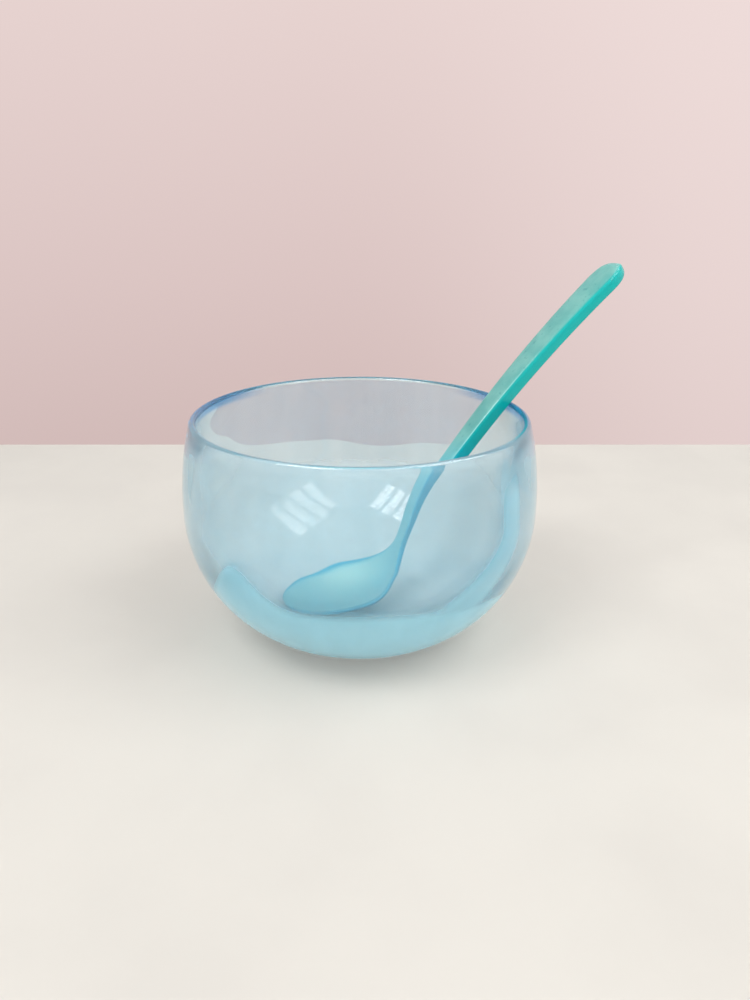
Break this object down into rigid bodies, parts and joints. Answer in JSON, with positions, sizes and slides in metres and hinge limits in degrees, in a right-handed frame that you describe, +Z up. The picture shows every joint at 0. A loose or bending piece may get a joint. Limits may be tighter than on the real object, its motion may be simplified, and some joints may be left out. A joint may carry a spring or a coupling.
{
  "type": "tapas bowl",
  "caption": "Round-bellied bowl of thick pale blue blown glass with a turquoise resin serving spoon standing in it, its handle on the lip.",
  "frame": {"origin": "centre of the bowl's flat base, on the table", "axes": "+Z up along the bowl's axis, +X the way the spoon's handle leans, +Y to its left"},
  "size_m": [0.1584, 0.12, 0.1211],
  "materials": {
    "pale_blue_glass": "clear, fire-polished, slightly milky",
    "turquoise_resin": "translucent, satin top face, glossy edges"
  },
  "bodies": {
    "bowl": {"glass_bowl": "pale_blue_glass"},
    "spoon": {"serving_spoon": "turquoise_resin"}
  },
  "joints": [
    {"name": "spoon_lift", "type": "slide", "parent": "bowl", "child": "spoon", "axis": [0, 0, 1], "range_m": [0, 0.1]}
  ]
}
